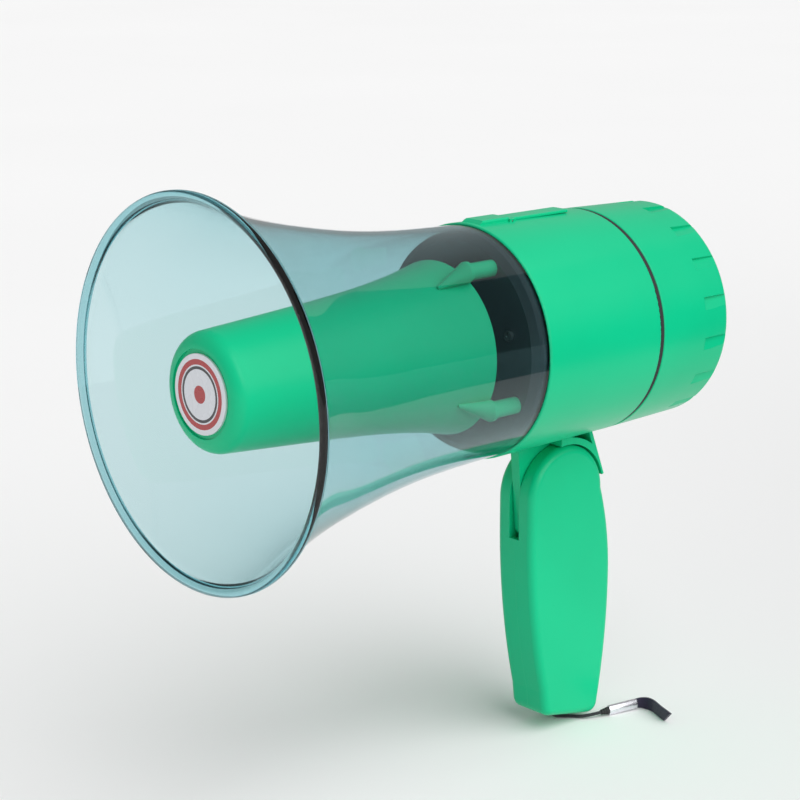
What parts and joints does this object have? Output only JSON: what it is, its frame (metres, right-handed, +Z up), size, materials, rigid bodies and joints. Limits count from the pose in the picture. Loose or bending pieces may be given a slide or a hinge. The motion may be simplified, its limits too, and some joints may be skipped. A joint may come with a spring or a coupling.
{
  "type": "handheld megaphone",
  "caption": "Handheld reflex megaphone with a clear flared bell, a moulded driver housing, a twist-off control cap, a fold-down pistol grip and a short wrist strap.",
  "frame": {"origin": "middle of the pistol grip, on the plane that splits its two halves", "axes": "+Z up, the mouth faces -Y, +X is the megaphone's left side"},
  "size_m": [0.205, 0.337, 0.3445],
  "materials": {
    "green_plastic": "bright green moulded plastic, semi-gloss",
    "clear_shell": "clear blue-grey tinted plastic",
    "dark_plastic": "dark moulded plastic",
    "white_plastic": "white acetal",
    "badge": "white printed disc with plain rings",
    "rubber_black": "black rubber",
    "steel": "zinc-plated steel",
    "chrome_crimp": "bright crimped metal",
    "cord_black": "black braided cord",
    "webbing": "black woven webbing",
    "diaphragm_film": "phenolic film",
    "copper": "copper winding",
    "ferrite": "sintered ferrite",
    "cell_sleeve": "shrink-sleeved cell",
    "can": "aluminium can",
    "board_green": "coated circuit board",
    "heat_sink_metal": "extruded, plain",
    "led_red": "red lens",
    "knob_black": "black moulded plastic",
    "button_green": "green cap",
    "button_red": "red cap"
  },
  "bodies": {
    "handle": {"handle_left": "green_plastic", "handle_right": "green_plastic", "handle_screws": "steel", "pivot_pin": "steel", "friction_washers": "white_plastic", "strap_eyelet": "dark_plastic", "strap_knot": "cord_black", "strap_cord": "cord_black", "cord_collar": "rubber_black", "strap_ferrule": "chrome_crimp", "strap_webbing": "webbing"},
    "horn": {"bell": "clear_shell", "bell_gasket": "rubber_black", "reflex_cone": "green_plastic", "nose_badge": "badge", "throat_tube": "dark_plastic", "baffle": "dark_plastic", "baffle_screws": "steel", "cone_screws": "steel", "driver_cover": "dark_plastic", "diaphragm": "diaphragm_film", "voice_coil": "copper", "driver_gasket": "rubber_black", "top_plate": "steel", "ferrite_magnet": "ferrite", "yoke": "steel", "driver_screws": "steel", "main_housing": "green_plastic", "seam_ring": "rubber_black", "socket_block": "dark_plastic", "port_hinge_pin": "steel", "battery_tray": "dark_plastic", "battery_cells": "cell_sleeve", "battery_contacts": "steel", "battery_lid": "dark_plastic", "tray_screws": "steel"},
    "rear_cap": {"rear_cap": "green_plastic", "rear_panel": "dark_plastic", "panel_screws": "steel", "mic_grille": "dark_plastic", "mic_capsule": "can", "volume_pot": "dark_plastic", "button_switches": "dark_plastic", "mode_switch_body": "dark_plastic", "led_lens": "led_red", "amplifier_board": "board_green", "board_screws": "steel", "heat_sink": "heat_sink_metal", "capacitors": "can", "amplifier_chips": "dark_plastic"},
    "port_door": {"port_door": "green_plastic"},
    "volume_knob": {"volume_knob": "knob_black"},
    "talk_button": {"talk_button": "button_green"},
    "siren_button": {"siren_button": "button_red"},
    "mode_slider": {"mode_slider": "knob_black"}
  },
  "joints": [
    {"name": "handle_fold", "type": "hinge", "parent": "handle", "child": "horn", "pos_m": [0, -0.005, 0.056], "axis": [1, 0, 0], "range_deg": [0, 72]},
    {"name": "cap_twist", "type": "hinge", "parent": "horn", "child": "rear_cap", "pos_m": [0, 0.03, 0.155], "axis": [0, 1, 0], "range_deg": [0, 24]},
    {"name": "port_door", "type": "hinge", "parent": "horn", "child": "port_door", "pos_m": [0, -0.0468, 0.2202], "axis": [1, 0, 0], "range_deg": [0, 90]},
    {"name": "volume_turn", "type": "hinge", "parent": "rear_cap", "child": "volume_knob", "pos_m": [0, 0.068, 0.125], "axis": [0, 1, 0], "range_deg": [0, 300]},
    {"name": "talk_press", "type": "slide", "parent": "rear_cap", "child": "talk_button", "axis": [0, -1, 0], "range_m": [0, 0.0025], "stiffness_N_per_m": 500, "springref_m": -0.002},
    {"name": "siren_press", "type": "slide", "parent": "rear_cap", "child": "siren_button", "axis": [0, -1, 0], "range_m": [0, 0.0025], "stiffness_N_per_m": 500, "springref_m": -0.002},
    {"name": "mode_slide", "type": "slide", "parent": "rear_cap", "child": "mode_slider", "axis": [1, 0, 0], "range_m": [0, 0.008]}
  ]
}
